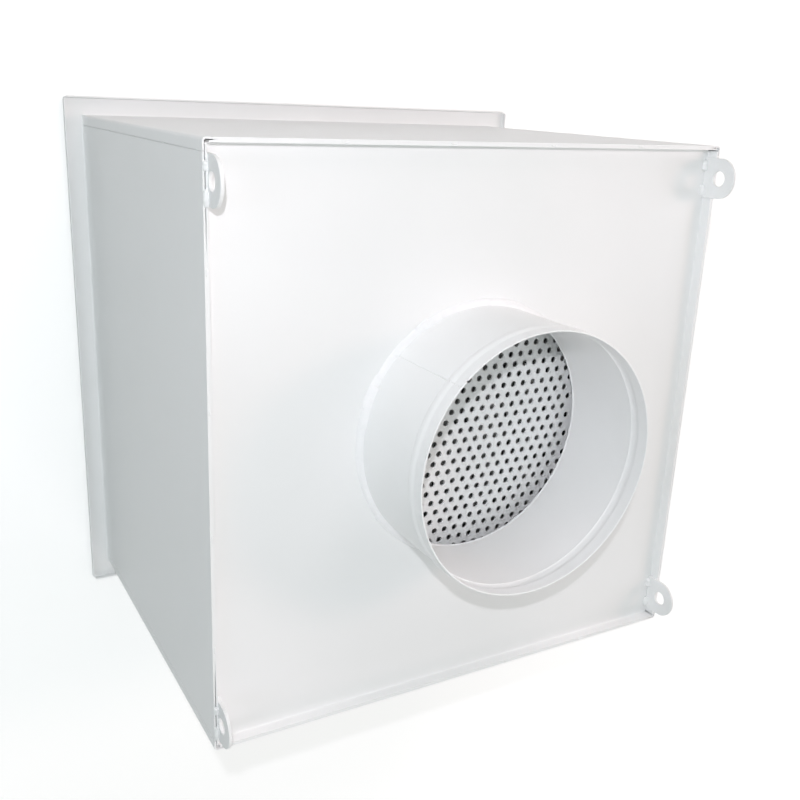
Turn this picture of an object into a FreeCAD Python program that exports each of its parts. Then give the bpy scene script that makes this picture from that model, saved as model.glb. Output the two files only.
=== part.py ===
import FreeCAD, Part
import math
import os

V = FreeCAD.Vector

# Terminal housing for a deep pleated air filter.
# It stands on its outlet flange: +Z goes up through the round duct spigot.
# The origin is the centre of the outlet, on the underside of the flange.

# Casing of folded sheet
casing_width = 540.0
casing_depth = 410.0
sheet = 1.5
bend_radius = 1.5
side_lap = 10.0
seam_gap = 0.6
flange_width = 20.0
lip_height = 8.0
mitre_gap = 0.2
corner_relief = 6.0
corner_chamfer = 4.0

# Inlet panel: a shallow pan set inside the walls, with its edges turned up to the rim
panel_recess = 11.0
panel_gap = 0.9

# Round duct spigot, with a bead rolled outwards near its rim
spigot_bore = 244.0
spigot_sheet = 1.2
spigot_height = 107.0
bead_setback = 17.0
bead_width = 10.0
bead_height = 1.3
spigot_clearance = 0.3
sealant_leg = 7.0
sealant_rise = 6.0

# Hanging lugs inside the rim, two on each side
lug_thickness = 3.0
lug_width = 40.0
lug_hole = 15.0
lug_reach = 9.0
lug_edge = 11.5
lug_relief = 2.0
lug_bead_length = 13.0
lug_bead_size = 4.0

# Tack welds between the wall edges and the panel's turned-up edge
tack_length = 7.0
tack_depth = 1.2
tacks_per_side = 4

# Perforated baffle under the inlet
baffle_gap = 17.0
baffle_overlap = 28.0
baffle_sheet = 1.5
hole_size = 6.0
hole_pitch = 12.0
perforated_margin = 2.0
pattern_shift_x = 2.6
pattern_shift_y = 3.3
bracket_width = 30.0
bracket_foot = 17.0
bracket_inset = 45.0
bracket_standoff = 2.0
baffle_screw = 4.0
baffle_screw_head = 7.6
baffle_screw_head_height = 2.4
baffle_nut_flats = 7.0
baffle_nut_height = 3.2

# Filter seat: four angle rails welded round the inside of the walls
seat_height = 270.0
seat_ledge = 44.0
seat_leg = 30.0
seat_sheet = 2.0

# Deep pleated filter
filter_wall_gap = 26.5
filter_depth = 220.0
filter_side = 20.0
filter_rebate = 6.0
filter_rebate_depth = 5.0
gasket_thickness = 6.0
gasket_inset = 1.0
pleat_pitch = 12.0
pleat_sheet = 0.4

# Clamps that press the filter up against its seat
clamp_inset = 92.0
clamp_width = 40.0
clamp_sheet = 3.0
clamp_grip = 13.0
clamp_heel = 12.0
clamp_wall_gap = 3.0
stud_size = 8.0
stud_tail = 8.0
stud_clearance = 0.5
thread_clearance = 0.05
washer_size = 17.0
washer_thickness = 1.6
nut_flats = 13.0
nut_height = 6.5

# Levels and faces worked out from the sizes above
half = casing_width / 2
wall_mid = half - sheet / 2
wall_inner = half - sheet
flange_half = half + flange_width
lip_mid = flange_half - sheet / 2
panel_top = casing_depth - panel_recess
panel_under = panel_top - sheet
edge_outer = wall_inner - panel_gap
edge_mid = edge_outer - sheet / 2
edge_inner = edge_outer - sheet
spigot_inner = spigot_bore / 2
spigot_outer = spigot_inner + spigot_sheet
spigot_top = panel_top + spigot_height
lug_centre_y = half - lug_edge - lug_width / 2
lug_hole_z = casing_depth + lug_reach
baffle_top = panel_under - baffle_gap
baffle_half = spigot_inner + baffle_overlap
perforated_radius = spigot_inner + perforated_margin
bracket_spread = baffle_half - bracket_inset
filter_half = wall_inner - filter_wall_gap
clamp_spread = filter_half - clamp_inset
filter_top = seat_height - gasket_thickness
filter_bottom = filter_top - filter_depth
side_middle = (filter_half + wall_inner) / 2


def folded_strip(path, inner_radius, thickness):
    """Closed outline of a folded sheet: its middle line, offset half a sheet each way.

    Each corner of the middle line becomes two arcs about one centre, so the sheet keeps
    its thickness round the bend.
    """
    middle_radius = inner_radius + thickness / 2
    left = []
    right = []
    points = [V(u, v, 0) for u, v in path]
    starts = [points[0]]
    ends = []
    for before, corner, after in zip(points, points[1:], points[2:]):
        way_in = (corner - before).normalize()
        way_out = (after - corner).normalize()
        turn = math.atan2(way_in.cross(way_out).z, way_in.dot(way_out))
        setback = middle_radius * math.tan(abs(turn) / 2)
        ends.append(corner - way_in * setback)
        starts.append(corner + way_out * setback)
    ends.append(points[-1])
    for side, edges in ((1, left), (-1, right)):
        for index, (start, end) in enumerate(zip(starts, ends)):
            way = (end - start).normalize()
            across = V(-way.y, way.x, 0) * (side * thickness / 2)
            edges.append(Part.LineSegment(start + across, end + across).toShape())
            if index == len(ends) - 1:
                continue
            following = (ends[index + 1] - starts[index + 1]).normalize()
            turned_left = way.cross(following).z > 0
            centre = end + V(-way.y, way.x, 0) * (middle_radius if turned_left else -middle_radius)
            spoke_in = end + across - centre
            next_across = V(-following.y, following.x, 0) * (side * thickness / 2)
            spoke_out = starts[index + 1] + next_across - centre
            halfway = (spoke_in + spoke_out).normalize() * spoke_in.Length
            edges.append(Part.Arc(centre + spoke_in, centre + halfway, centre + spoke_out).toShape())
    caps = []
    for end_point, neighbour in ((points[0], points[1]), (points[-1], points[-2])):
        way = (neighbour - end_point).normalize()
        across = V(-way.y, way.x, 0) * (thickness / 2)
        caps.append(Part.LineSegment(end_point + across, end_point - across).toShape())
    return Part.Wire(Part.__sortEdges__(left + right + caps))


def extruded(outline, origin, u_axis, v_axis, length):
    """Solid that carries a flat outline, drawn in the u and v axes, along their normal."""
    w_axis = u_axis.cross(v_axis)
    frame = FreeCAD.Matrix(
        u_axis.x, v_axis.x, w_axis.x, origin.x,
        u_axis.y, v_axis.y, w_axis.y, origin.y,
        u_axis.z, v_axis.z, w_axis.z, origin.z,
        0, 0, 0, 1)
    face = Part.Face(outline)
    face.transformShape(frame)
    return face.extrude(w_axis * length)


def polygon(points):
    """Closed outline with straight sides."""
    corners = [V(u, v, 0) for u, v in points]
    return Part.makePolygon(corners + corners[:1])


def box(low, high):
    """Block between two opposite corners."""
    return Part.makeBox(high[0] - low[0], high[1] - low[1], high[2] - low[2], V(*low))


def bar(radius, length, base, way=V(0, 0, 1)):
    """Round bar from a point, along a direction."""
    return Part.makeCylinder(radius, length, base, way)


def hexagon(flats, height, base):
    """Hexagonal block that stands on its base."""
    corner = flats / math.sqrt(3)
    points = [(corner * math.cos(math.radians(60 * k)), corner * math.sin(math.radians(60 * k)))
              for k in range(6)]
    return extruded(polygon(points), base, V(1, 0, 0), V(0, 1, 0), height)


def quarter_turns(shape, turns):
    """The shape turned about the housing's axis by quarter turns."""
    turned = shape.copy()
    turned.rotate(V(0, 0, 0), V(0, 0, 1), 90 * turns)
    return turned


def mitred(shape, height, gap):
    """What lies between the two corner planes on the +X side, short of them by a gap."""
    reach = flange_half * 1.5
    wedge = polygon([(gap, 0), (reach, reach - gap), (reach, -reach + gap)])
    return shape.common(extruded(wedge, V(0, 0, -1), V(1, 0, 0), V(0, 1, 0), height + 2))


def flanged_section():
    """Section of a wall: down from the rim, out along the flange and up its lip."""
    return folded_strip(
        [(wall_mid, casing_depth), (wall_mid, sheet / 2), (lip_mid, sheet / 2), (lip_mid, lip_height)],
        bend_radius, sheet)


def flange_leg():
    """The lowest stretch of a wall with its flange and lip, mitred and chamfered at both corners."""
    start = V(0, flange_half, 0)
    whole = extruded(flanged_section(), start, V(1, 0, 0), V(0, 0, 1), 2 * flange_half)
    low = whole.common(box((0, -flange_half, 0), (flange_half, flange_half, corner_relief - mitre_gap)))
    lip = whole.common(box((half + bend_radius, -flange_half, 0), (flange_half, flange_half, lip_height)))
    reach = 2 * flange_half - corner_chamfer
    kept = polygon([(0, -reach), (reach, 0), (0, reach)])
    leg = low.fuse(lip).common(extruded(kept, V(0, 0, -1), V(1, 0, 0), V(0, 1, 0), lip_height + 2))
    return mitred(leg, lip_height, mitre_gap)


def side_wall():
    """Wall on the +X side: a flat sheet between the lapped edges, with its flange."""
    reach = half - side_lap - seam_gap
    sheet_face = extruded(flanged_section(), V(0, reach, 0), V(1, 0, 0), V(0, 0, 1), 2 * reach)
    return sheet_face.fuse(flange_leg()).removeSplitter()


def lapped_wall():
    """Wall on the +X side whose two edges fold round the corners and lap the next walls."""
    section = folded_strip(
        [(half - side_lap, -wall_mid), (wall_mid, -wall_mid),
         (wall_mid, wall_mid), (half - side_lap, wall_mid)],
        bend_radius, sheet)
    sleeve = extruded(section, V(0, 0, corner_relief), V(1, 0, 0), V(0, 1, 0), casing_depth - corner_relief)
    flat = half - sheet - bend_radius
    lower = extruded(flanged_section(), V(0, flat, 0), V(1, 0, 0), V(0, 0, 1), 2 * flat)
    return sleeve.fuse([lower, flange_leg()]).removeSplitter()


def inlet_panel():
    """Shallow pan: a square floor with four edges turned up to the rim and the inlet hole."""
    floor = panel_top - sheet / 2
    section = folded_strip(
        [(-edge_mid, casing_depth), (-edge_mid, floor), (edge_mid, floor), (edge_mid, casing_depth)],
        bend_radius, sheet)
    flat = edge_inner - bend_radius
    pan = extruded(section, V(0, flat, 0), V(1, 0, 0), V(0, 0, 1), 2 * flat)
    pan = pan.fuse(quarter_turns(pan, 1)).removeSplitter()
    return pan.cut(bar(spigot_outer + spigot_clearance, 4 * sheet, V(0, 0, panel_under - sheet)))


def spigot():
    """Rolled collar, turned from its section: both faces swell outwards in an arc at the bead."""
    middle = spigot_top - bead_setback
    edges = []
    for radius in (spigot_inner, spigot_outer):
        foot = V(radius, 0, panel_under)
        bead_low = V(radius, 0, middle - bead_width / 2)
        bead_crown = V(radius + bead_height, 0, middle)
        bead_high = V(radius, 0, middle + bead_width / 2)
        rim = V(radius, 0, spigot_top)
        edges.append(Part.LineSegment(foot, bead_low).toShape())
        edges.append(Part.Arc(bead_low, bead_crown, bead_high).toShape())
        edges.append(Part.LineSegment(bead_high, rim).toShape())
    for level in (panel_under, spigot_top):
        edges.append(Part.LineSegment(V(spigot_inner, 0, level), V(spigot_outer, 0, level)).toShape())
    return Part.Face(Part.Wire(Part.__sortEdges__(edges))).revolve(V(0, 0, 0), V(0, 0, 1), 360)


def spigot_sealant():
    """Sealant fillet round the foot of the spigot, a little hollow in its face."""
    toe = V(spigot_outer + sealant_leg, 0, panel_top)
    top = V(spigot_outer, 0, panel_top + sealant_rise)
    root = V(spigot_outer, 0, panel_top)
    hollow = root + (toe + top - root * 2) * 0.42
    face_edge = Part.Arc(toe, hollow, top).toShape()
    edges = [face_edge, Part.LineSegment(top, root).toShape(), Part.LineSegment(root, toe).toShape()]
    return Part.Face(Part.Wire(Part.__sortEdges__(edges))).revolve(V(0, 0, 0), V(0, 0, 1), 360)


def lug(side_x, side_y):
    """Flat plate on the turned-up edge, with a round end about its hole."""
    radius = lug_width / 2
    low = V(0, -radius, panel_top)
    shoulder = V(0, -radius, lug_hole_z)
    crown = V(0, 0, lug_hole_z + radius)
    far_shoulder = V(0, radius, lug_hole_z)
    far_low = V(0, radius, panel_top)
    outline = Part.Wire([
        Part.LineSegment(low, shoulder).toShape(),
        Part.Arc(shoulder, crown, far_shoulder).toShape(),
        Part.LineSegment(far_shoulder, far_low).toShape(),
        Part.LineSegment(far_low, low).toShape()])
    plate = Part.Face(outline).extrude(V(lug_thickness, 0, 0))
    plate = plate.cut(bar(lug_hole / 2, lug_thickness * 3, V(-lug_thickness, 0, lug_hole_z), V(1, 0, 0)))
    corner = polygon([(lug_thickness - lug_relief, 0), (lug_thickness + 1, 0),
                      (lug_thickness + 1, lug_relief + 1), (lug_thickness, lug_relief)])
    relief = extruded(corner, V(0, lug_width, panel_top), V(1, 0, 0), V(0, 0, 1), 2 * lug_width)
    plate = plate.cut(relief)
    plate.translate(V(edge_inner - lug_thickness, 0, 0))
    if side_x < 0:
        plate = plate.mirror(V(0, 0, 0), V(1, 0, 0))
    plate.translate(V(0, side_y * lug_centre_y, 0))
    return plate


def lug_welds():
    """Fillet beads at each lug: two at its foot on the panel, two on the rim behind it."""
    beads = []
    inner_face = edge_inner - lug_thickness
    foot = [(inner_face, panel_top), (inner_face - lug_bead_size, panel_top),
            (inner_face, panel_top + lug_bead_size)]
    rim = [(edge_inner, casing_depth), (half - sheet / 2, casing_depth),
           (edge_inner, casing_depth + lug_bead_size)]
    offset = (lug_width - lug_bead_length) / 2
    for outline in (foot, rim):
        for side_y in (-1, 1):
            for step in (-1, 1):
                middle = side_y * lug_centre_y + step * offset
                start = V(0, middle + lug_bead_length / 2, 0)
                bead = extruded(polygon(outline), start, V(1, 0, 0), V(0, 0, 1), lug_bead_length)
                beads.append(bead)
                beads.append(bead.mirror(V(0, 0, 0), V(1, 0, 0)))
    return Part.makeCompound(beads)


def rim_tacks():
    """Short tack welds that close the slit between each wall's edge and the panel's edge."""
    tacks = []
    spacing = casing_width / (tacks_per_side + 1)
    for turns in range(4):
        for number in range(tacks_per_side):
            middle = (number - (tacks_per_side - 1) / 2) * spacing
            tack = box((edge_outer, middle - tack_length / 2, casing_depth - tack_depth),
                       (wall_inner, middle + tack_length / 2, casing_depth))
            tacks.append(quarter_turns(tack, turns))
    return Part.makeCompound(tacks)


def baffle_plate():
    """Flat sheet with staggered rows of holes at 60 degrees, cut with six-sided holes."""
    plate = box((-baffle_half, -baffle_half, baffle_top - baffle_sheet),
                (baffle_half, baffle_half, baffle_top))
    row_pitch = hole_pitch * math.sqrt(3) / 2
    rows = int(perforated_radius / row_pitch) + 1
    columns = int(perforated_radius / hole_pitch) + 1
    holes = []
    for row in range(-rows, rows + 1):
        y = pattern_shift_y + row * row_pitch
        stagger = hole_pitch / 2 if row % 2 else 0
        for column in range(-columns, columns + 1):
            x = pattern_shift_x + stagger + column * hole_pitch
            if math.hypot(x, y) > perforated_radius:
                continue
            holes.append(hexagon(hole_size, 3 * baffle_sheet, V(x, y, baffle_top - 2 * baffle_sheet)))
    for side_x in (-1, 1):
        for side_y in (-1, 1):
            at = V(side_x * screw_x(), side_y * bracket_spread, baffle_top - 2 * baffle_sheet)
            holes.append(bar(baffle_screw / 2 + stud_clearance / 2, 3 * baffle_sheet, at))
    return plate.cut(Part.makeCompound(holes))


def screw_x():
    """Distance of the baffle's screws from the middle plane: the middle of a bracket's foot."""
    return baffle_half + bracket_standoff - bracket_foot / 2


def baffle_bracket(side_x, side_y):
    """Z-shaped bracket: welded under the inlet panel, and screwed down on the baffle."""
    web = baffle_half + bracket_standoff
    upper = panel_under - baffle_sheet / 2
    lower = baffle_top + baffle_sheet / 2
    section = folded_strip(
        [(web + bracket_foot, upper), (web, upper), (web, lower), (web - bracket_foot, lower)],
        bend_radius, baffle_sheet)
    middle = side_y * bracket_spread
    bracket = extruded(section, V(0, middle + bracket_width / 2, 0), V(1, 0, 0), V(0, 0, 1), bracket_width)
    at = V(screw_x(), middle, baffle_top - baffle_sheet)
    bracket = bracket.cut(bar(baffle_screw / 2 + stud_clearance / 2, 3 * baffle_sheet, at))
    return bracket.mirror(V(0, 0, 0), V(1, 0, 0)) if side_x < 0 else bracket


def baffle_screws():
    """Pan-head screws from below, through the baffle and the bracket's foot."""
    screws = []
    head_face = baffle_top - baffle_sheet
    shank = 2 * baffle_sheet + baffle_nut_height + 1
    for side_x in (-1, 1):
        for side_y in (-1, 1):
            x = side_x * screw_x()
            y = side_y * bracket_spread
            head = Part.makeCone(baffle_screw_head / 2 * 0.8, baffle_screw_head / 2, baffle_screw_head_height,
                                 V(x, y, head_face - baffle_screw_head_height))
            screws.append(head.fuse(bar(baffle_screw / 2, shank, V(x, y, head_face))))
    return Part.makeCompound(screws)


def baffle_nuts():
    """Nuts on the baffle's screws, above the brackets' feet."""
    nuts = []
    seat = baffle_top + baffle_sheet
    for side_x in (-1, 1):
        for side_y in (-1, 1):
            at = V(side_x * screw_x(), side_y * bracket_spread, seat)
            nuts.append(hexagon(baffle_nut_flats, baffle_nut_height, at).cut(
                bar(baffle_screw / 2 + thread_clearance, baffle_nut_height, at)))
    return Part.makeCompound(nuts)


def seat_rail():
    """Angle rail on the +X wall, whose ledge the filter's gasket seals against.

    Its ends are cut back where the casing's corners are rounded inside.
    """
    ledge = seat_height + seat_sheet / 2
    upright = wall_inner - seat_sheet / 2
    section = folded_strip(
        [(wall_inner - seat_ledge, ledge), (upright, ledge), (upright, seat_height + seat_leg)],
        bend_radius, seat_sheet)
    rail = extruded(section, V(0, half, 0), V(1, 0, 0), V(0, 0, 1), casing_width)
    corner = polygon([(wall_inner, wall_inner - bend_radius), (half, wall_inner - bend_radius),
                      (half, half), (wall_inner - bend_radius, half), (wall_inner - bend_radius, wall_inner)])
    for turns in (0, -1):
        clear = extruded(corner, V(0, 0, 0), V(1, 0, 0), V(0, 1, 0), casing_depth)
        rail = rail.cut(quarter_turns(clear, turns))
    return mitred(rail, casing_depth, 0)


def filter_side_bar():
    """Extruded frame bar on the filter's +X side, rebated along its inner edges."""
    inner = filter_half - filter_side
    outline = polygon([
        (filter_half, filter_bottom), (filter_half, filter_top),
        (inner, filter_top), (inner, filter_top - filter_rebate),
        (inner + filter_rebate_depth, filter_top - filter_rebate),
        (inner + filter_rebate_depth, filter_bottom + filter_rebate),
        (inner, filter_bottom + filter_rebate), (inner, filter_bottom)])
    side = extruded(outline, V(0, filter_half, 0), V(1, 0, 0), V(0, 0, 1), 2 * filter_half)
    return mitred(side, casing_depth, 0)


def filter_pleats():
    """Filter paper folded to and fro: one continuous sheet held in the frame's rebates.

    The steep sheet is drawn by its depth along Z, which is its thickness over the fold's slope.
    """
    half_pack = filter_half - filter_side + filter_rebate_depth
    low = filter_bottom + filter_rebate
    high = filter_top - filter_rebate
    run = pleat_pitch / 2
    depth = pleat_sheet * math.hypot(run, high - low) / run
    folds = 2 * int(2 * half_pack / pleat_pitch)
    start = -folds * run / 2
    lower = [(start + fold * run, high - depth if fold % 2 else low) for fold in range(folds + 1)]
    upper = [(x, z + depth) for x, z in reversed(lower)]
    outline = polygon(lower + upper)
    return extruded(outline, V(0, half_pack, 0), V(1, 0, 0), V(0, 0, 1), 2 * half_pack)


def filter_gasket():
    """Soft strip round the top of the filter's frame, pressed against the seat."""
    outer = filter_half - gasket_inset
    inner = filter_half - filter_side + gasket_inset
    ring = box((-outer, -outer, filter_top), (outer, outer, seat_height))
    return ring.cut(box((-inner, -inner, filter_top - 1), (inner, inner, seat_height + 1)))


def clamp(side_x, side_y):
    """Folded clamp plate: it bears up on the filter's frame, and its heel stands along the wall."""
    middle = side_y * clamp_spread
    plate_level = filter_bottom - clamp_sheet / 2
    heel = wall_inner - clamp_wall_gap - clamp_sheet / 2
    section = folded_strip(
        [(filter_half - clamp_grip, plate_level), (heel, plate_level), (heel, filter_bottom + clamp_heel)],
        bend_radius, clamp_sheet)
    plate = extruded(section, V(0, middle + clamp_width / 2, 0), V(1, 0, 0), V(0, 0, 1), clamp_width)
    hole = bar(stud_size / 2 + stud_clearance, 3 * clamp_sheet,
               V(side_middle, middle, filter_bottom - 2 * clamp_sheet))
    plate = plate.cut(hole)
    return plate.mirror(V(0, 0, 0), V(1, 0, 0)) if side_x < 0 else plate


def at_clamps(make):
    """One copy of a fastener at each of the four clamps."""
    return Part.makeCompound([
        make(side_x * side_middle, side_y * clamp_spread)
        for side_x in (-1, 1) for side_y in (-1, 1)])


def clamp_stud(x, y):
    """Stud welded under the seat's ledge, down past the filter to the nut."""
    washer_face = filter_bottom - clamp_sheet - washer_thickness
    low = washer_face - nut_height - stud_tail
    return bar(stud_size / 2, seat_height - low, V(x, y, low))


def clamp_washer(x, y):
    """Flat washer under the clamp plate."""
    at = V(x, y, filter_bottom - clamp_sheet - washer_thickness)
    disc = bar(washer_size / 2, washer_thickness, at)
    return disc.cut(bar(stud_size / 2 + stud_clearance / 2, washer_thickness, at))


def clamp_nut(x, y):
    """Hexagon nut that draws the clamp up."""
    at = V(x, y, filter_bottom - clamp_sheet - washer_thickness - nut_height)
    return hexagon(nut_flats, nut_height, at).cut(bar(stud_size / 2 + thread_clearance, nut_height, at))


def main():
    """Make every piece and write each one to its own file."""
    side_names = ("right", "top", "left", "bottom")
    pieces = {
        "inlet_panel": inlet_panel(),
        "duct_spigot": spigot(),
        "spigot_sealant": spigot_sealant(),
        "lug_welds": lug_welds(),
        "rim_tack_welds": rim_tacks(),
        "baffle_plate": baffle_plate(),
        "baffle_screws": baffle_screws(),
        "baffle_nuts": baffle_nuts(),
        "filter_pleats": filter_pleats(),
        "filter_gasket": filter_gasket(),
        "clamp_studs": at_clamps(clamp_stud),
        "clamp_washers": at_clamps(clamp_washer),
        "clamp_nuts": at_clamps(clamp_nut),
    }
    walls = (side_wall(), lapped_wall())
    rail = seat_rail()
    frame_bar = filter_side_bar()
    for turns, side in enumerate(side_names):
        pieces["wall_" + side] = quarter_turns(walls[turns % 2], turns)
        pieces["seat_rail_" + side] = quarter_turns(rail, turns)
        pieces["filter_side_" + side] = quarter_turns(frame_bar, turns)
    for side_x, name_x in ((-1, "left"), (1, "right")):
        for side_y, name_y in ((-1, "bottom"), (1, "top")):
            corner = name_y + "_" + name_x
            pieces["lug_" + corner] = lug(side_x, side_y)
            pieces["baffle_bracket_" + corner] = baffle_bracket(side_x, side_y)
            pieces["clamp_" + corner] = clamp(side_x, side_y)
    os.makedirs("parts", exist_ok=True)
    for name, shape in sorted(pieces.items()):
        shape.exportStep("parts/" + name + ".step")
        print(name, "solids", len(shape.Solids), "valid", shape.isValid(), "volume", round(shape.Volume, 1))


main()
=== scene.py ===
import math

import bmesh
import bpy
import numpy as np
from mathutils import Matrix, Vector


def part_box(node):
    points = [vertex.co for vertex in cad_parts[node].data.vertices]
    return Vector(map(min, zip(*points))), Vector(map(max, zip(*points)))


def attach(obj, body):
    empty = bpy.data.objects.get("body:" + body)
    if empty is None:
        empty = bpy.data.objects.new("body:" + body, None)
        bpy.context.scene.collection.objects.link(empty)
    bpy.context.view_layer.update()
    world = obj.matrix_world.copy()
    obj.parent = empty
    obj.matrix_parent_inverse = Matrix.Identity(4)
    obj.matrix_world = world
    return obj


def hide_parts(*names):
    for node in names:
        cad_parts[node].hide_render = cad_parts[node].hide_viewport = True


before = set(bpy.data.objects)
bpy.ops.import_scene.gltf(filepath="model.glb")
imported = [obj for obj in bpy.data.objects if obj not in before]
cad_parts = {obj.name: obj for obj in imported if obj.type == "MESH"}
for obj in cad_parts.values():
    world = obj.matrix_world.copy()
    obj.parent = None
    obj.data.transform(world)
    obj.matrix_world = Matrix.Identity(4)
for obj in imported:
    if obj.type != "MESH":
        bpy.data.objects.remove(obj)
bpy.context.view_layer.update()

MM = 0.001
BODY = "root"
TURN = 2 * math.pi
CORNERS = [(side_x, side_y) for side_x in (-1, 1) for side_y in (-1, 1)]

# Sizes of the sheet metal, in millimetres, in the housing's own frame
sheet = 1.5
casing_half = 270.0
wall_inner = casing_half - sheet
panel_edge_outer = 267.6
panel_edge_inner = 266.1
panel_top = 399.0
rim_level = 410.0

spigot_inner = 122.0
spigot_sheet = 1.2
spigot_outer = spigot_inner + spigot_sheet
spigot_foot = 397.5
spigot_top = 506.0
bead_middle = 489.0
bead_half = 5.0
bead_height = 1.3
seam_angle = math.radians(137.1)
notch_angle = math.radians(133.8)

baffle_top = 380.5
baffle_half = 150.0
hole_radius = 3.0
hole_pitch = 12.0
row_pitch = hole_pitch * math.sqrt(3) / 2
pattern_shift = (2.6, 3.3)
perforated_half = 134.0

filter_bottom = 44.0
filter_top = 264.0
filter_rebate = 6.0
paper_half = 226.6
pleat_pitch = 8.0
pleat_thickness = 0.45
pleats = int(2 * paper_half / pleat_pitch)
lug_centre_y = 238.5
lug_inner_face = 263.1


# Meshes from arrays

def grid_faces(rows, columns, wrap_rows=False, wrap_columns=False):
    """Quads of a grid: each joins a point with the next in its row, its column and both."""
    first = np.arange(rows if wrap_rows else rows - 1)
    second = np.arange(columns if wrap_columns else columns - 1)
    row, column = np.meshgrid(first, second, indexing="ij")
    next_row = (row + 1) % rows
    next_column = (column + 1) % columns
    corners = [row * columns + column, next_row * columns + column,
               next_row * columns + next_column, row * columns + next_column]
    return np.stack(corners, axis=-1).reshape(-1, 4)


def repeated_faces(faces, copies, points_each):
    """The faces of one shape, repeated for each copy with the copy's own point numbers."""
    shift = (np.arange(copies) * points_each)[:, None, None]
    return (faces[None] + shift).reshape(-1, faces.shape[1])


def piece_from(name, points, faces, finish, sharp_angle=35.0, merge=0.002):
    """Mesh piece at the origin from points in millimetres, welded, facing outwards and smooth."""
    mesh = bpy.data.meshes.new(name)
    places = np.asarray(points).reshape(-1, 3) * MM
    mesh.from_pydata(places.tolist(), [], np.asarray(faces).tolist())
    work = bmesh.new()
    work.from_mesh(mesh)
    bmesh.ops.remove_doubles(work, verts=work.verts, dist=merge * MM)
    bmesh.ops.dissolve_degenerate(work, edges=work.edges, dist=merge * MM)
    bmesh.ops.recalc_face_normals(work, faces=work.faces)
    work.to_mesh(mesh)
    work.free()
    mesh.polygons.foreach_set("use_smooth", np.ones(len(mesh.polygons), dtype=bool))
    mesh.set_sharp_from_angle(angle=math.radians(sharp_angle))
    mesh.materials.append(finish)
    piece = bpy.data.objects.new(name, mesh)
    bpy.context.scene.collection.objects.link(piece)
    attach(piece, BODY)
    return piece


# Finishes

def blank_finish(name):
    """New material with one principled shader: gives the material, its node tree and the shader."""
    finish = bpy.data.materials.new(name)
    finish.use_nodes = True
    tree = finish.node_tree
    tree.nodes.clear()
    shader = tree.nodes.new("ShaderNodeBsdfPrincipled")
    output = tree.nodes.new("ShaderNodeOutputMaterial")
    tree.links.new(shader.outputs["BSDF"], output.inputs["Surface"])
    return finish, tree, shader


def object_noise(tree, scale, detail=2.0, stretch=(1.0, 1.0, 1.0), roughness=0.5):
    """Noise on Object coordinates, which a Mapping node may stretch along an axis."""
    place = tree.nodes.new("ShaderNodeTexCoord")
    mapping = tree.nodes.new("ShaderNodeMapping")
    mapping.inputs["Scale"].default_value = stretch
    noise = tree.nodes.new("ShaderNodeTexNoise")
    noise.inputs["Scale"].default_value = scale
    noise.inputs["Detail"].default_value = detail
    noise.inputs["Roughness"].default_value = roughness
    tree.links.new(place.outputs["Object"], mapping.inputs["Vector"])
    tree.links.new(mapping.outputs["Vector"], noise.inputs["Vector"])
    return noise


def tinted(tree, shader, source, low, high, start=0.3, end=0.7):
    """Base colour that runs from one tone to the other as the source rises."""
    ramp = tree.nodes.new("ShaderNodeValToRGB")
    ramp.color_ramp.elements[0].position = start
    ramp.color_ramp.elements[0].color = (*low, 1)
    ramp.color_ramp.elements[1].position = end
    ramp.color_ramp.elements[1].color = (*high, 1)
    tree.links.new(source, ramp.inputs["Fac"])
    tree.links.new(ramp.outputs["Color"], shader.inputs["Base Color"])


def varied_roughness(tree, shader, source, low, high):
    """Roughness that follows the source between two values."""
    span = tree.nodes.new("ShaderNodeMapRange")
    span.inputs["From Min"].default_value = 0.3
    span.inputs["From Max"].default_value = 0.7
    span.inputs["To Min"].default_value = low
    span.inputs["To Max"].default_value = high
    tree.links.new(source, span.inputs["Value"])
    tree.links.new(span.outputs["Result"], shader.inputs["Roughness"])


def raised(tree, shader, sources):
    """Bump nodes in a chain, one for each (source, strength, depth in millimetres)."""
    last = None
    for source, strength, depth in sources:
        bump = tree.nodes.new("ShaderNodeBump")
        bump.inputs["Strength"].default_value = strength
        bump.inputs["Distance"].default_value = depth * MM
        tree.links.new(source, bump.inputs["Height"])
        if last is not None:
            tree.links.new(last.outputs["Normal"], bump.inputs["Normal"])
        last = bump
    tree.links.new(last.outputs["Normal"], shader.inputs["Normal"])


def powder_coat(name, low, high, grain=1.0):
    """Baked white powder: orange peel 2 to 3 mm across, a finer grain, and faint patches."""
    finish, tree, shader = blank_finish(name)
    patches = object_noise(tree, 7.0, detail=3.0)
    peel = object_noise(tree, 380.0, detail=1.0)
    fine = object_noise(tree, 1500.0, detail=2.0)
    tinted(tree, shader, patches.outputs["Fac"], low, high)
    varied_roughness(tree, shader, patches.outputs["Fac"], 0.36, 0.44)
    raised(tree, shader, [(peel.outputs["Fac"], 0.30 * grain, 0.05),
                          (fine.outputs["Fac"], 0.20 * grain, 0.012)])
    shader.inputs["IOR"].default_value = 1.48
    return finish


def bright_zinc(name):
    """Zinc plating: pale blue-grey metal with darker clouds and fine wiped lines."""
    finish, tree, shader = blank_finish(name)
    clouds = object_noise(tree, 90.0, detail=4.0)
    lines = object_noise(tree, 900.0, detail=3.0, stretch=(1.0, 1.0, 0.12))
    tinted(tree, shader, clouds.outputs["Fac"], (0.56, 0.58, 0.61), (0.72, 0.73, 0.74))
    varied_roughness(tree, shader, clouds.outputs["Fac"], 0.26, 0.40)
    raised(tree, shader, [(lines.outputs["Fac"], 0.25, 0.02)])
    shader.inputs["Metallic"].default_value = 1.0
    return finish


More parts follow.
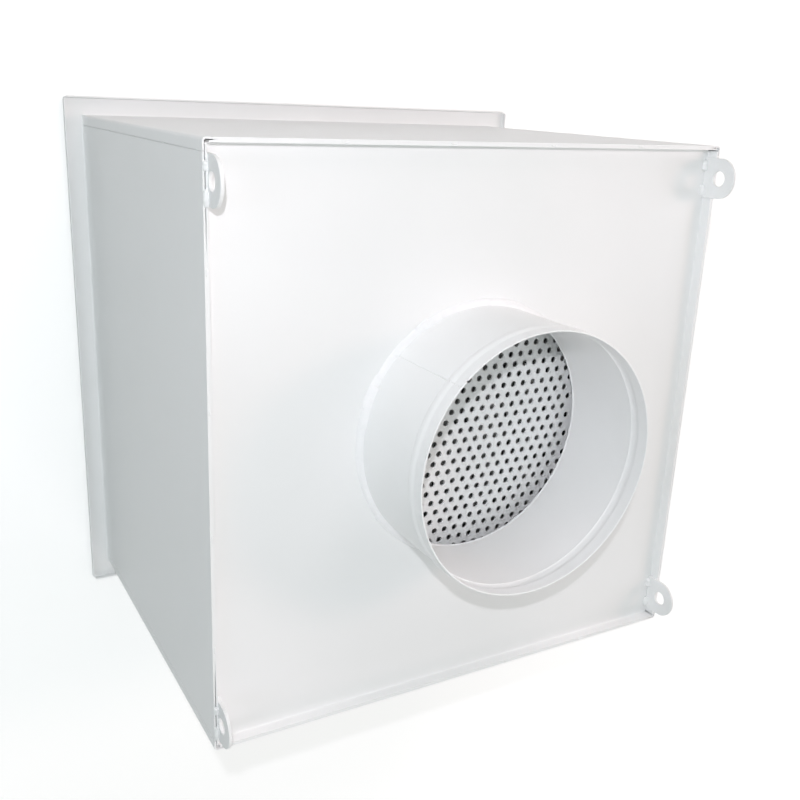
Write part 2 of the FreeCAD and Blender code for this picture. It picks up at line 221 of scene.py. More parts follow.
def drawn_aluminium(name, stretch):
    """Mill-finish extrusion: long die lines along the bar and soft grey stains."""
    finish, tree, shader = blank_finish(name)
    stains = object_noise(tree, 14.0, detail=5.0)
    die_lines = object_noise(tree, 700.0, detail=2.0, stretch=stretch)
    tinted(tree, shader, stains.outputs["Fac"], (0.66, 0.67, 0.68), (0.80, 0.81, 0.82))
    varied_roughness(tree, shader, die_lines.outputs["Fac"], 0.28, 0.46)
    raised(tree, shader, [(die_lines.outputs["Fac"], 0.35, 0.03)])
    shader.inputs["Metallic"].default_value = 1.0
    return finish


def thin_foil(name):
    """Rolled foil: bright, a little dented."""
    finish, tree, shader = blank_finish(name)
    dents = object_noise(tree, 220.0, detail=3.0)
    tinted(tree, shader, dents.outputs["Fac"], (0.74, 0.75, 0.76), (0.86, 0.87, 0.88))
    varied_roughness(tree, shader, dents.outputs["Fac"], 0.22, 0.36)
    raised(tree, shader, [(dents.outputs["Fac"], 0.5, 0.12)])
    shader.inputs["Metallic"].default_value = 1.0
    return finish


def glass_paper(name):
    """Glass-fibre paper: matt off-white felt with a cloudy weight and short fibres."""
    finish, tree, shader = blank_finish(name)
    clouds = object_noise(tree, 160.0, detail=5.0, roughness=0.65)
    fibres = object_noise(tree, 2400.0, detail=4.0, roughness=0.7)
    tinted(tree, shader, clouds.outputs["Fac"], (0.80, 0.80, 0.77), (0.90, 0.90, 0.88))
    raised(tree, shader, [(clouds.outputs["Fac"], 0.4, 0.1), (fibres.outputs["Fac"], 0.6, 0.04)])
    shader.inputs["Roughness"].default_value = 0.95
    shader.inputs["Sheen Weight"].default_value = 0.15
    return finish


def smoothed_sealant(name):
    """White sealant drawn smooth by hand: soft drag marks and a few small pits."""
    finish, tree, shader = blank_finish(name)
    drag = object_noise(tree, 120.0, detail=3.0)
    pits = object_noise(tree, 700.0, detail=2.0)
    tinted(tree, shader, drag.outputs["Fac"], (0.890, 0.893, 0.902), (0.910, 0.912, 0.920))
    varied_roughness(tree, shader, drag.outputs["Fac"], 0.46, 0.58)
    raised(tree, shader, [(drag.outputs["Fac"], 0.3, 0.20), (pits.outputs["Fac"], 0.25, 0.05)])
    shader.inputs["IOR"].default_value = 1.42
    return finish


def closed_cell_foam(name):
    """Dark foam strip: a skin of small closed cells."""
    finish, tree, shader = blank_finish(name)
    place = tree.nodes.new("ShaderNodeTexCoord")
    cells = tree.nodes.new("ShaderNodeTexVoronoi")
    cells.inputs["Scale"].default_value = 1300.0
    tree.links.new(place.outputs["Object"], cells.inputs["Vector"])
    clouds = object_noise(tree, 60.0, detail=3.0)
    tinted(tree, shader, clouds.outputs["Fac"], (0.055, 0.055, 0.06), (0.085, 0.085, 0.09))
    raised(tree, shader, [(cells.outputs["Distance"], 0.7, 0.15)])
    shader.inputs["Roughness"].default_value = 0.88
    return finish


coat_tones = ((0.880, 0.886, 0.888), (0.900, 0.905, 0.906))
# Lighter, bluer copy of the same white coat for the baffle, seat rails and brackets inside: painted
# cool light, not a coat of another colour.
inner_tones_painted_cool_light = ((0.888, 0.898, 0.904), (0.904, 0.913, 0.918))
white_coat = powder_coat("white_powder_coat", *coat_tones)
inner_coat_painted_cool_light = powder_coat("white_powder_coat_inside_painted_cool_light", *inner_tones_painted_cool_light)
weld_coat = powder_coat("white_coat_over_weld", *coat_tones, grain=1.8)
zinc = bright_zinc("bright_zinc")
aluminium_along_x = drawn_aluminium("aluminium_drawn_along_x", (0.02, 1.0, 1.0))
aluminium_along_y = drawn_aluminium("aluminium_drawn_along_y", (1.0, 0.02, 1.0))
foil = thin_foil("separator_foil")
paper = glass_paper("glass_fibre_paper")
foam = closed_cell_foam("gasket_foam")
sealant = smoothed_sealant("white_sealant")


# Pieces made here in place of the plain solids

def smooth_step(value):
    """Zero below 0, one above 1, and a smooth S between."""
    t = np.clip(value, 0, 1)
    return t * t * (3 - 2 * t)


def ridge(angle, centre, radius, width):
    """Bell across a line at one angle on a drum: e to the minus square of the arc over the width."""
    arc = (np.angle(np.exp(1j * (angle - centre)))) * radius
    return np.exp(-(arc / width) ** 2)


def make_spigot():
    """Rolled collar: a closed sheet section, carried once round the axis.

    The section runs up the inside, over the rounded rim and down the outside. At the bead both
    faces swell outwards by a power of a cosine of the way from its middle, with a crisp lower
    edge and a fine crease under it, and at the rim the coat is a little fuller. The butt seam is
    a fine groove at one angle, deeper where it crosses the bead, the rim has a notch beside it,
    and rim and barrel wander a little from round.
    """
    rim_coat = 0.22
    seam_width, seam_depth = 0.34, 0.48
    crease_width, crease_depth = 0.28, 0.30
    notch_width, notch_depth, notch_reach = 1.0, 1.5, 3.0

    bead = bead_middle - bead_half * np.cos(np.linspace(0, math.pi, 21))
    below = np.concatenate([np.linspace(spigot_foot, bead[0] - 1.4, 6),
                            bead[0] - np.linspace(1.2, 0.1, 8)])
    above = np.linspace(bead[-1], spigot_top - 1.0, 6)[1:]
    rise = np.concatenate([below, bead, above])
    way = np.clip(np.abs(rise - bead_middle) / bead_half, 0, 1)
    power = np.where(rise < bead_middle, 0.5, 1.25)
    swell = bead_height * np.cos(way * math.pi / 2) ** power
    full = rim_coat * smooth_step((rise - spigot_top + 3.0) / 2.0)
    turn = np.linspace(math.pi, 0, 9)[1:-1]
    rim_half = spigot_sheet / 2 + full[-1]
    rim_rise = spigot_top - 0.1 - rise[-1]
    radius = np.concatenate([spigot_inner + swell - full,
                             spigot_inner + spigot_sheet / 2 + rim_half * np.cos(turn),
                             (spigot_outer + swell + full)[::-1]])
    level = np.concatenate([rise, rise[-1] + rim_rise * np.sin(turn), rise[::-1]])
    on_outside = np.arange(level.size) >= rise.size + turn.size

    near = np.linspace(-3.0, 3.0, 41) / spigot_outer
    angle = np.unique(np.concatenate([np.linspace(0, TURN, 289)[:-1],
                                      seam_angle + near, notch_angle + near]))
    a, r = np.meshgrid(angle, radius, indexing="ij")
    z = np.broadcast_to(level, a.shape)
    height = (z - spigot_foot) / (spigot_top - spigot_foot)
    out_of_round = height ** 2 * (0.25 * np.sin(2 * a + 0.6) + 0.12 * np.sin(3 * a + 2.0))
    pit = 1 + 1.2 * np.exp(-(z - bead_middle + 5.2) ** 2)
    seam = ridge(a, seam_angle, spigot_outer, seam_width) * pit * np.where(on_outside, -seam_depth, 0.0)
    crease = -crease_depth * np.exp(-((z - bead[0] + 0.45) / crease_width) ** 2) * on_outside
    r = r + out_of_round + seam + crease
    notch = (ridge(a, notch_angle, spigot_outer, notch_width)
             * smooth_step((z - (spigot_top - notch_reach)) / 2.4))
    z = z - notch_depth * notch + 0.1 * height ** 2 * (np.sin(4 * a + 1.0) - 1)
    points = np.stack([r * np.cos(a), r * np.sin(a), z], axis=-1)
    faces = grid_faces(angle.size, radius.size, wrap_rows=True, wrap_columns=True)
    piece = piece_from("spigot_collar", points, faces, white_coat,
                       sharp_angle=50.0)
    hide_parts("duct_spigot")


def stepped(angle, table):
    """Widths round the axis: each one holds from its own angle, in degrees, on to the next one's.

    From one width to the next it runs straight, over a short run on both sides of the angle.
    """
    starts = np.radians([start for start, width in table])
    widths = np.array([width for start, width in table])
    run = 0.006
    places = np.stack([starts - run, starts + run], axis=-1).reshape(-1)
    values = np.stack([np.roll(widths, 1), widths], axis=-1).reshape(-1)
    return np.interp(angle, places, values, period=TURN)


def ring_points(angle, radius, level):
    """Points of a band carried round the axis: radius and level are given for each angle and line."""
    turned = np.broadcast_to(angle[:, None], radius.shape)
    points = np.stack([radius * np.cos(turned), radius * np.sin(turned), level], axis=-1)
    return points.reshape(-1, 3)


def make_spigot_sealant():
    """Sealant fillet round the spigot's foot: an arched face from toe to top, carried round the axis.

    The passes laid by hand differ in width, so toe and top change by small steps at set angles,
    and between those they wander by slow sines of the angle. The arch is half a sine of the way
    from toe to top. A thin round bead closes the inside.
    """
    toe_table = ((20, 5.8), (68, 6.3), (96, 5.4), (118, 6.8), (124, 5.6), (149, 7.0),
                 (163, 6.3), (184, 5.4), (214, 6.1), (251, 5.6), (300, 6.1), (338, 5.5))
    top_table = ((12, 4.6), (47, 5.1), (88, 4.4), (112, 5.4), (121, 4.3), (138, 3.3),
                 (153, 5.0), (171, 4.2), (203, 4.8), (236, 4.3), (281, 5.0), (322, 4.5))
    angle = np.linspace(0, TURN, 1441)[:-1]
    across = np.linspace(0, 1, 9)
    a, t = np.meshgrid(angle, across, indexing="ij")
    toe = stepped(a, toe_table) + 0.22 * np.sin(13 * a + 1.9) + 0.10 * np.sin(57 * a + np.sin(9 * a))
    top = stepped(a, top_table) + 0.20 * np.sin(11 * a + 0.3) + 0.10 * np.sin(63 * a + np.sin(8 * a))
    bulge = 0.16 + 0.07 * np.sin(9 * a + 1.0)
    out = toe * (1 - t) + toe * bulge * np.sin(math.pi * t)
    up = top * t + top * bulge * np.sin(math.pi * t) * 0.7
    root = np.zeros((angle.size, 1))
    out = np.concatenate([out, root - 0.3], axis=1)
    up = np.concatenate([up, root - 0.1], axis=1)
    fillet = ring_points(angle, spigot_outer + out, panel_top + up)
    swing = np.linspace(0, TURN, 10)[:-1]
    size = (0.9 + 0.10 * np.sin(23 * angle) + 0.08 * np.sin(41 * angle + 1.0))[:, None]
    foot = ring_points(angle, spigot_inner + size * np.cos(swing),
                       spigot_foot + 0.3 + size * np.sin(swing))
    faces = grid_faces(angle.size, across.size + 1, wrap_rows=True, wrap_columns=True)
    foot_faces = grid_faces(angle.size, swing.size, wrap_rows=True, wrap_columns=True) + len(fillet)
    points = np.concatenate([fillet, foot])
    faces = np.concatenate([faces, foot_faces])
    piece = piece_from("sealant_fillet", points, faces, sealant, sharp_angle=60.0)
    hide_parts("spigot_sealant")


def bead_shells(starts, ends, radii, flatness=1.0):
    """Closed beads, one from each start to its end.

    Along a bead the radius is the root of one less the fourth power of the way from its middle,
    times small ripples, and the section is a circle, pressed flat along Z by the flatness.
    """
    starts = np.asarray(starts, dtype=float)
    ends = np.asarray(ends, dtype=float)
    radii = np.asarray(radii, dtype=float)[:, None]
    way = -np.cos(np.linspace(0, math.pi, 19))
    swing = np.linspace(0, TURN, 15)[:-1]
    axis = ends - starts
    axis = axis / np.linalg.norm(axis, axis=1, keepdims=True)
    upright = np.where(np.abs(axis[:, 2:3]) > 0.9, [[1.0, 0.0, 0.0]], [[0.0, 0.0, 1.0]])
    first = np.cross(upright, axis)
    first = first / np.linalg.norm(first, axis=1, keepdims=True)
    second = np.cross(axis, first)
    phase = np.arange(len(starts))[:, None] * 1.7
    swell = 1 + 0.09 * np.sin(5 * way[None] + phase) + 0.04 * np.sin(13 * way[None] + 2 * phase)
    size = radii * np.sqrt(np.clip(1 - way[None] ** 4, 0, 1)) * swell
    centre = (starts[:, None] * (1 - way[None, :, None]) + ends[:, None] * (1 + way[None, :, None])) / 2
    ring = (np.cos(swing)[None, None, :, None] * first[:, None, None]
            + flatness * np.sin(swing)[None, None, :, None] * second[:, None, None])
    points = centre[:, :, None] + size[:, :, None, None] * ring
    faces = grid_faces(way.size, swing.size, wrap_columns=True)
    return points.reshape(-1, 3), repeated_faces(faces, len(starts), way.size * swing.size)


def make_lug_beads():
    """Beads along each lug: two in the corner at its foot and two on the rim behind it."""
    foot_x, foot_z, foot_radius = lug_inner_face - 0.6, panel_top + 0.8, 3.3
    rim_x, rim_z, rim_radius = panel_edge_inner + 1.2, rim_level - 0.2, 2.9
    starts = []
    ends = []
    radii = []
    for side_x, side_y in CORNERS:
        y = side_y * lug_centre_y
        for near, far, swell in ((-18.5, -7.5, 1.0), (6.0, 17.5, 0.93)):
            starts.append((side_x * foot_x, y + near, foot_z))
            ends.append((side_x * foot_x, y + far, foot_z))
            radii.append(foot_radius * swell)
            starts.append((side_x * rim_x, y + near * 1.1, rim_z))
            ends.append((side_x * rim_x, y + far * 0.85, rim_z))
            radii.append(rim_radius * swell)
    points, faces = bead_shells(starts, ends, radii)
    piece = piece_from("lug_fillet_beads", points, faces, weld_coat,
                       sharp_angle=60.0)
    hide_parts("lug_welds")


def make_rim_tacks():
    """Short tacks that bridge the slit along the rim: left, bottom, top and right side in turn.

    Each side has the axis that it crosses, the way it lies on that axis, and its tacks' places.
    """
    slit = (panel_edge_outer + wall_inner) / 2
    tack_radius = 1.15
    sides = ((0, -1, (169, 55, -57, -165)), (1, -1, (-167, -58, 56, 157)),
             (1, 1, (-152, -49, 58, 163)), (0, 1, (-160, -52, 61, 158)))
    starts = []
    ends = []
    for axis, way, places in sides:
        for place in places:
            for half, store in ((-3.6, starts), (3.4, ends)):
                point = [place + half, place + half, rim_level - 0.4]
                point[axis] = way * slit
                store.append(point)
    radii = np.full(len(starts), tack_radius)
    points, faces = bead_shells(starts, ends, radii, flatness=0.8)
    piece = piece_from("rim_tacks", points, faces, weld_coat, sharp_angle=60.0)
    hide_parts("rim_tack_welds")


def wavy_bar(place, along, low, high, drop):
    """Closed four-sided bar with a wavy top and a flat underside 4 mm down.

    The place given turns the way along, the way across and the depth into points.
    """
    across = np.array([low, high, high, low])
    s = np.broadcast_to(along[:, None], (along.size, 4))
    underside = np.full(along.size, 4.0)
    depth = np.stack([drop, drop, underside, underside], axis=-1)
    return place(s, np.broadcast_to(across, s.shape), depth).reshape(-1, 3)


def make_coat_in_slits():
    """Coat that has run into the rim's slits, the lapped seams and the flange's mitres, as wavy bars.

    A bar's top lies a hair below the sheet. In the rim's slits it sinks by a high power of the way
    towards the ends; on the left side it sinks sooner, by a smooth S, and the slit stays open there.
    """
    rim_reach = 261.0
    seam_middle, seam_half = 207.5, 200.5
    lap_low, lap_high = casing_half - 10.65, casing_half - 9.95
    mitre_middle, mitre_half, mitre_gap = 280.2, 8.6, 0.34
    along = np.linspace(-1, 1, 121)
    ripple = 0.05 * np.sin(31 * along) + 0.04 * np.sin(71 * along + 1.0)
    closed_ends = 0.8 * np.abs(along) ** 40
    open_ends = 3.4 * smooth_step((np.abs(along) - 0.66) / 0.16)
    bars = []
    for cos, sin in ((1, 0), (0, 1), (-1, 0), (0, -1)):
        def rim_place(s, u, depth, cos=cos, sin=sin):
            """Along one side of the rim, at a depth below it."""
            v = s * rim_reach
            return np.stack([u * cos - v * sin, u * sin + v * cos, rim_level - depth], axis=-1)

        left_side = cos == -1
        bars.append(wavy_bar(rim_place, along, panel_edge_outer - 0.05, wall_inner + 0.05,
                             0.16 + ripple + (open_ends if left_side else closed_ends)))
    for side_x, side_y in CORNERS:
        def seam_place(s, u, depth, side_x=side_x, side_y=side_y):
            """Up one lapped seam of a side wall, at a depth behind its outer face."""
            inward = np.minimum(depth, sheet - 0.05)
            return np.stack([side_x * (casing_half - inward), side_y * u,
                             seam_middle + s * seam_half], axis=-1)

        bars.append(wavy_bar(seam_place, along, lap_low, lap_high, 1.05 + 2 * ripple))
    for side_x, side_y in CORNERS:
        def mitre_place(s, u, depth, side_x=side_x, side_y=side_y):
            """Along one mitre of the outlet flange, at a depth below its face."""
            reach = mitre_middle + s * mitre_half
            shift = u * math.sqrt(0.5)
            return np.stack([side_x * (reach + shift), side_y * (reach - shift),
                             sheet - np.minimum(depth, sheet - 0.1)], axis=-1)

        bars.append(wavy_bar(mitre_place, along, -mitre_gap, mitre_gap, 0.04 + 0.5 * ripple))
    faces = repeated_faces(grid_faces(along.size, 4, wrap_columns=True), len(bars), along.size * 4)
    piece_from("coat_in_slits", np.concatenate(bars), faces, white_coat)


def make_seam_stitches():
    """Flush stitch beads across the lapped seams of the side walls."""
    seam_x = casing_half - 0.25
    seam_y = casing_half - 10.3
    stitch_half, stitch_radius = 3.5, 0.75
    starts = []
    ends = []
    for side_x, side_y in CORNERS:
        for level in (213.0, 309.0, 396.0, 118.0):
            starts.append((side_x * seam_x, side_y * seam_y, level - stitch_half))
            ends.append((side_x * seam_x, side_y * seam_y, level + stitch_half))
    points, faces = bead_shells(starts, ends, np.full(len(starts), stitch_radius))
    piece_from("seam_stitches", points, faces, weld_coat, sharp_angle=60.0)


def make_baffle():
    """Perforated sheet: tiles with a punched hole each, in staggered rows, and a plain margin.

    A tile is seven rings of 18 points: hole at the underside, hole below the rim, two on the
    fuller coat round the rim, its foot, tile edge on top and tile edge underneath. The margin is
    a lattice of small cells on the same lines, so that every edge meets point to point.
    """
    shift_x, shift_y = pattern_shift
    columns_each_way = 11
    cell_x = hole_pitch / 6
    cell_y = row_pitch / 3
    half_x = hole_pitch / 2
    half_y = row_pitch / 2
    roll, fullness = 0.22, 0.14

    edge = np.array([(-half_x + cell_x * k, -half_y) for k in range(6)]
                    + [(half_x, -half_y + cell_y * k) for k in range(3)]
                    + [(half_x - cell_x * k, half_y) for k in range(6)]
                    + [(-half_x, half_y - cell_y * k) for k in range(3)])
    count = len(edge)
    around = np.radians(210 + 20 * np.arange(count))
    circle = np.stack([np.cos(around), np.sin(around)], axis=-1)
    rings = [(circle * hole_radius, -sheet), (circle * hole_radius, -roll),
             (circle * (hole_radius + roll), fullness), (circle * (hole_radius + 0.45), fullness),
             (circle * (hole_radius + 0.95), 0.0), (edge, 0.0), (edge, -sheet)]
    tile = np.concatenate([np.concatenate([flat, np.full((count, 1), z)], axis=1)
                           for flat, z in rings])
    band = grid_faces(2, count, wrap_columns=True)
    last = count * (len(rings) - 1)
    k = np.arange(count)
    underside = np.stack([last + k, k, (k + 1) % count, last + (k + 1) % count], axis=-1)
    tile_faces = np.concatenate([band + count * ring for ring in range(5)] + [underside])
    rows = np.arange(math.ceil((-perforated_half - shift_y) / row_pitch),
                     math.floor((perforated_half - shift_y) / row_pitch) + 1)
    columns = np.arange(-columns_each_way, columns_each_way)
    row, column = np.meshgrid(rows, columns, indexing="ij")
    centre_x = shift_x + (row % 2) * half_x + column * hole_pitch
    centre_y = shift_y + row * row_pitch
    centres = np.stack([centre_x, centre_y, np.full(row.shape, baffle_top)], axis=-1).reshape(-1, 3)
    points = (centres[:, None] + tile[None]).reshape(-1, 3)
    faces = repeated_faces(tile_faces, len(centres), len(tile))

    first_line = math.floor((-baffle_half - shift_x) / cell_x)
    last_line = math.ceil((baffle_half - shift_x) / cell_x)
    lines_x = shift_x + cell_x * np.arange(first_line, last_line + 1)
    lines_x = np.clip(lines_x, -baffle_half, baffle_half)
    lines_y = shift_y + (rows[0] - 0.5) * row_pitch + cell_y * np.arange(3 * rows.size + 1)
    lines_y = np.concatenate([[-baffle_half], lines_y, [baffle_half]])
    gx, gy = np.meshgrid(lines_x, lines_y, indexing="ij")
    top = np.stack([gx, gy, np.full(gx.shape, baffle_top)], axis=-1).reshape(-1, 3)
    under = top - [0, 0, sheet]
    cells = grid_faces(lines_x.size, lines_y.size)
    middle_x, middle_y, _ = top[cells].mean(axis=1).T
    line_row = np.round((middle_y - shift_y) / row_pitch).astype(int)
    first_x = shift_x + (line_row % 2) * half_x - columns_each_way * hole_pitch - half_x
    tiled = ((line_row >= rows[0]) & (line_row <= rows[-1])
             & (middle_x > first_x) & (middle_x < first_x + columns.size * hole_pitch)
             & (middle_y > lines_y[1]) & (middle_y < lines_y[-2]))
    cells = cells[~tiled]
    total = gx.size
    index = np.arange(total).reshape(gx.shape)
    loop = np.concatenate([index[:, 0], index[-1, 1:], index[-2::-1, -1], index[0, -2:0:-1]])
    step = np.roll(loop, -1)
    rim = np.stack([loop, step, step + total, loop + total], axis=-1)
    margin = np.concatenate([cells, cells[:, ::-1] + total, rim])
    faces = np.concatenate([faces, margin + len(points)])
    points = np.concatenate([points, top, under])
    piece = piece_from("perforated_baffle", points, faces, inner_coat_painted_cool_light,
                       sharp_angle=30.0, merge=0.01)
    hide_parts("baffle_plate")


def pleat_wander(number, y):
    """Small sideways drift of a fold along its length: two sines with a phase of its own."""
    return 0.30 * np.sin(y / 47.0 + 2.4 * number) + 0.18 * np.sin(y / 19.0 + 5.1 * number)


def make_pleats():
    """Folded paper: upright legs joined by half-round folds, given its thickness, carried along Y."""
    clearance = 0.4
    low = filter_bottom + filter_rebate + clearance
    high = filter_top - filter_rebate - clearance
    bend = pleat_pitch / 4
    turn = np.linspace(0, math.pi, 8)
    legs = 2 * pleats
    number = np.arange(legs)
    start_x = -pleats * pleat_pitch / 2 + bend
    leg_x = start_x + number * 2 * bend
    up = number % 2 == 0
    centre_x = leg_x + bend
    centre_z = np.where(up, high - bend, low + bend)
    sign = np.where(up, 1.0, -1.0)

    def fold_line(offset):
        """The folds' line moved sideways by an offset: each fold is an arc of the bend's radius."""
        radius = bend + offset * sign
        x = centre_x[:, None] - radius[:, None] * np.cos(turn)[None]
        z = centre_z[:, None] + sign[:, None] * radius[:, None] * np.sin(turn)[None]
        return x.reshape(-1), z.reshape(-1)

    y = np.linspace(-paper_half, paper_half, 15)
    sides = []
    for offset in (pleat_thickness / 2, -pleat_thickness / 2):
        x, z = fold_line(offset)
        drift = pleat_wander(np.repeat(number, turn.size)[:, None], y[None])
        sides.append(np.stack([x[:, None] + drift, np.broadcast_to(y, (x.size, y.size)),
                               np.broadcast_to(z[:, None], (x.size, y.size))], axis=-1))
    loop = np.concatenate([sides[0], sides[1][::-1]])
    faces = grid_faces(loop.shape[0], y.size, wrap_rows=True)
    count = sides[0].shape[0]
    k = np.arange(count - 1)
    ends = []
    for column in (0, y.size - 1):
        near = k * y.size + column
        far = (2 * count - 1 - k) * y.size + column
        ends.append(np.stack([near, near + y.size, far - y.size, far], axis=-1))
    faces = np.concatenate([faces] + ends)
    piece = piece_from("folded_filter_paper", loop, faces, paper, sharp_angle=60.0)
    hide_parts("filter_pleats")


def make_separators():
    """Corrugated foil in each gap between two legs of paper: a zigzag along Y, upright in Z."""
    wave = 9.0
    off_paper = 0.25
    open_side, fold_side = 1.6, 6.0
    foil_thickness = 0.06
    reach = paper_half - 1.5
    steps = int(2 * reach / (wave / 4))
    y = np.linspace(-reach, reach, steps + 1)
    swing = (pleat_pitch / 2 - pleat_thickness) / 2 - off_paper
    phase = y / wave * 4
    zigzag = np.abs((phase % 4) - 2) - 1
    number = np.arange(2 * pleats - 1)
    centre = -pleats * pleat_pitch / 2 + pleat_pitch / 2 + number * pleat_pitch / 2
    up = number % 2 == 0
    low = filter_bottom + filter_rebate + np.where(up, open_side, fold_side)
    high = filter_top - filter_rebate - np.where(up, fold_side, open_side)
    x = (centre[:, None] + swing * zigzag[None] * np.where(up, 1, -1)[:, None]
         + pleat_wander(number[:, None] + 0.5, y[None]))
    yy = np.broadcast_to(y, x.shape)
    lower = np.stack([x, yy, np.broadcast_to(low[:, None], x.shape)], axis=-1)
    upper = np.stack([x, yy, np.broadcast_to(high[:, None], x.shape)], axis=-1)
    thickness = np.array([foil_thickness, 0.0, 0.0])
    loop = np.stack([lower, upper, upper + thickness, lower + thickness], axis=1)
    faces = repeated_faces(grid_faces(4, y.size, wrap_rows=True), number.size, 4 * y.size)
    piece_from("foil_separators", loop, faces, foil, sharp_angle=20.0)


def make_threaded_studs():
    """Round bars with a rolled thread at the lower end.

    The radius falls from the crest by a triangle wave of the height over the pitch less the
    share of the turn, which makes the thread's helix.
    """
    box_low, box_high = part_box("clamp_studs")
    low = box_low[2] / MM
    high = box_high[2] / MM
    crest = 4.0
    chamfer = 0.7
    thread_pitch, thread_depth = 1.25, 0.62
    threaded = 42.0
    angle = np.linspace(0, TURN, 17)[:-1]
    level = np.concatenate([[low, low],
                            np.arange(low + 0.6, low + threaded, thread_pitch / 4),
                            [low + threaded + 0.5, high, high]])
    a, z = np.meshgrid(angle, level, indexing="ij")
    turn = ((z - low) / thread_pitch - a / TURN) % 1
    on_thread = (z < low + threaded) * (z > low + 0.3)
    radius = crest - thread_depth * (1 - np.abs(2 * turn - 1)) * on_thread
    radius[:, 1] = crest - chamfer
    radius[:, 0] = 0.0
    radius[:, -1] = 0.0
    shell = np.stack([radius * np.cos(a), radius * np.sin(a), z], axis=-1).reshape(-1, 3)
    x = (box_high[0] / MM) - crest
    y = (box_high[1] / MM) - crest
    centres = np.array([(side_x * x, side_y * y, 0.0) for side_x, side_y in CORNERS])
    points = (centres[:, None] + shell[None]).reshape(-1, 3)
    faces = repeated_faces(grid_faces(angle.size, level.size, wrap_rows=True),
                           len(centres), len(shell))
    piece = piece_from("threaded_studs", points, faces, zinc, sharp_angle=50.0)
    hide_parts("clamp_studs")


make_spigot()
make_spigot_sealant()
make_lug_beads()
make_rim_tacks()
make_coat_in_slits()
make_seam_stitches()
make_baffle()
make_pleats()
make_separators()
make_threaded_studs()


# Finishes and eased edges of the solids that stay as they are

def eased_edges(node, width):
    """Breaks the sharp edges of a solid by a small round, as a thick coat of powder does."""
    weld = node.modifiers.new("weld", "WELD")
    weld.merge_threshold = 0.01 * MM
    bevel = node.modifiers.new("eased", "BEVEL")
    bevel.width = width * MM
    bevel.segments = 2
    bevel.limit_method = "ANGLE"
    bevel.angle_limit = math.radians(40)


corner_names = ("bottom_left", "bottom_right", "top_left", "top_right")
lugs = ["lug_" + corner for corner in corner_names]
clamps = ["clamp_" + corner for corner in corner_names]
finishes = [
    (white_coat, ["wall_right", "wall_top", "wall_left", "wall_bottom", "inlet_panel"] + lugs),
    # The inside parts take the copy of the white coat that has painted cool light in its tone.
    (inner_coat_painted_cool_light, ["seat_rail_right", "seat_rail_top", "seat_rail_left", "seat_rail_bottom"]
     + ["baffle_bracket_" + corner for corner in corner_names]),
    (zinc, clamps + ["clamp_washers", "clamp_nuts", "baffle_screws", "baffle_nuts"]),
    (aluminium_along_x, ["filter_side_top", "filter_side_bottom"]),
    (aluminium_along_y, ["filter_side_left", "filter_side_right"]),
    (foam, ["filter_gasket"])]
for finish, names in finishes:
    for name in names:
        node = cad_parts[name]
        node.data.materials.clear()
        node.data.materials.append(finish)
for names, width in ((lugs, 0.35), (clamps, 0.3)):
    for name in names:
        eased_edges(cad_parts[name], width)


# Floor, light and camera

def seen_directly(tree):
    """One for what the camera, a mirror or a glass sees directly, and zero for bounced light."""
    path = tree.nodes.new("ShaderNodeLightPath")
    seen = path.outputs["Is Camera Ray"]
    for ray in ("Is Glossy Ray", "Is Transmission Ray"):
        either = tree.nodes.new("ShaderNodeMath")
        either.operation = "ADD"
        either.use_clamp = True
        tree.links.new(seen, either.inputs[0])
        tree.links.new(path.outputs[ray], either.inputs[1])
        seen = either.outputs[0]
    return seen


def make_floor():
    """Wide matt floor that looks white, keeps the object's soft shadow and is plain white far off.

    A faint glow, which only direct view shows, rises with the distance from the object.
    """
    reach = 9.0
    level = -0.0002
    mesh = bpy.data.meshes.new("studio_floor")
    mesh.from_pydata([(-reach, -reach, level), (reach, -reach, level), (reach, reach, level),
                      (-reach, reach, level)], [], [(0, 1, 2, 3)])
    floor = bpy.data.objects.new("studio_floor", mesh)
    bpy.context.scene.collection.objects.link(floor)
    finish = bpy.data.materials.new("studio_floor_white")
    finish.use_nodes = True
    tree = finish.node_tree
    tree.nodes.clear()
    bounce = tree.nodes.new("ShaderNodeBsdfDiffuse")
    bounce.inputs["Color"].default_value = (0.40, 0.40, 0.40, 1)
    seen = tree.nodes.new("ShaderNodeBsdfDiffuse")
    seen.inputs["Color"].default_value = (1.0, 1.0, 1.0, 1)
    glow = tree.nodes.new("ShaderNodeEmission")
    place = tree.nodes.new("ShaderNodeTexCoord")
    away = tree.nodes.new("ShaderNodeVectorMath")
    away.operation = "LENGTH"
    rise = tree.nodes.new("ShaderNodeMapRange")
    for side, value in (("From Min", 0.7), ("From Max", 2.4), ("To Min", 0.26), ("To Max", 0.60)):
        rise.inputs[side].default_value = value
    tree.links.new(place.outputs["Object"], away.inputs[0])
    tree.links.new(away.outputs["Value"], rise.inputs["Value"])
    tree.links.new(rise.outputs["Result"], glow.inputs["Strength"])
    lifted = tree.nodes.new("ShaderNodeAddShader")
    choice = tree.nodes.new("ShaderNodeMixShader")
    output = tree.nodes.new("ShaderNodeOutputMaterial")
    tree.links.new(seen.outputs[0], lifted.inputs[0])
    tree.links.new(glow.outputs[0], lifted.inputs[1])
    tree.links.new(seen_directly(tree), choice.inputs["Fac"])
    tree.links.new(bounce.outputs[0], choice.inputs[1])
    tree.links.new(lifted.outputs[0], choice.inputs[2])
    tree.links.new(choice.outputs[0], output.inputs["Surface"])
    mesh.materials.append(finish)


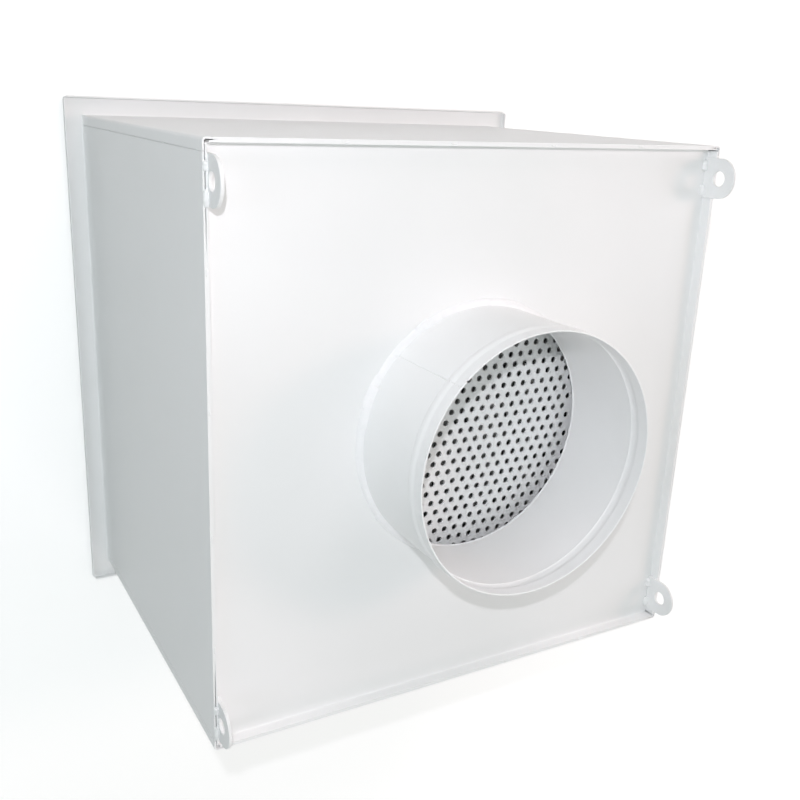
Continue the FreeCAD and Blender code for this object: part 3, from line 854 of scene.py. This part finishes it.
def make_world(strength, tint):
    """Even pale light from all round, which is plain white where it is seen directly."""
    world = bpy.data.worlds.new("studio")
    bpy.context.scene.world = world
    world.use_nodes = True
    tree = world.node_tree
    tree.nodes.clear()
    light = tree.nodes.new("ShaderNodeBackground")
    light.inputs["Color"].default_value = (*tint, 1)
    light.inputs["Strength"].default_value = strength
    seen = tree.nodes.new("ShaderNodeBackground")
    seen.inputs["Color"].default_value = (1, 1, 1, 1)
    seen.inputs["Strength"].default_value = 1.0
    choice = tree.nodes.new("ShaderNodeMixShader")
    output = tree.nodes.new("ShaderNodeOutputWorld")
    tree.links.new(seen_directly(tree), choice.inputs["Fac"])
    tree.links.new(light.outputs[0], choice.inputs[1])
    tree.links.new(seen.outputs[0], choice.inputs[2])
    tree.links.new(choice.outputs[0], output.inputs["Surface"])


def soft_lamp(name, towards, distance, size, share, tint):
    """Round lamp that lights a face turned to it by a share of the level at which white is white.

    Its energy is the share times the square of pi times its distance. It points at the panel.
    """
    target = Vector((0, 0, 0.40))
    place = target + Vector(towards).normalized() * distance
    lamp = bpy.data.lights.new(name, "AREA")
    lamp.shape = "DISK"
    lamp.size = size
    lamp.energy = share * math.pi ** 2 * distance ** 2
    lamp.color = tint
    holder = bpy.data.objects.new(name, lamp)
    holder.location = place
    holder.rotation_euler = (target - place).to_track_quat("-Z", "Y").to_euler()
    bpy.context.scene.collection.objects.link(holder)


def make_camera(lens, place, right, up):
    """Camera at the photo's viewing angle: its place, and what lies to its right and above it."""
    eye = bpy.data.cameras.new("photo_camera")
    eye.sensor_width = 36.0
    eye.lens = lens
    viewer = bpy.data.objects.new("photo_camera", eye)
    right = Vector(right).normalized()
    up = Vector(up).normalized()
    back = right.cross(up)
    viewer.matrix_world = Matrix((
        (right.x, up.x, back.x, place[0]),
        (right.y, up.y, back.y, place[1]),
        (right.z, up.z, back.z, place[2]),
        (0, 0, 0, 1)))
    bpy.context.scene.collection.objects.link(viewer)
    bpy.context.scene.camera = viewer


make_floor()
make_world(0.42, (0.95, 1.055, 1.0))
# Name, direction, distance and size in metres, share of the light, tint
soft_lamp("flash_over_the_camera", (-0.517, 0.436, 0.736), 1.087, 0.022, 0.31, (0.99, 0.98, 1.03))
soft_lamp("warm_window", (0.719, 0.226, 0.656), 3.0, 0.6, 0.085, (1.38, 0.88, 0.76))
soft_lamp("broad_top", (0.15, 0.90, 0.40), 3.0, 1.5, 0.14, (1.12, 0.92, 0.96))
soft_lamp("broad_left", (-0.85, 0.1, 0.5), 3.0, 1.5, 0.10, (0.92, 0.96, 1.11))
soft_lamp("broad_bottom", (0.2, -0.85, 0.5), 3.0, 1.5, 0.10, (1.11, 0.91, 0.97))
soft_lamp("broad_right", (0.90, 0.10, 0.40), 3.0, 1.5, 0.175, (0.98, 0.965, 1.05))
make_camera(lens=42.546, place=(-0.498844, 0.304747, 1.109082),
            right=(0.86996, 0.04230, 0.49130), up=(0.11559, 0.95106, -0.28657))
bpy.context.scene.view_settings.view_transform = "Standard"

bpy.context.view_layer.update()
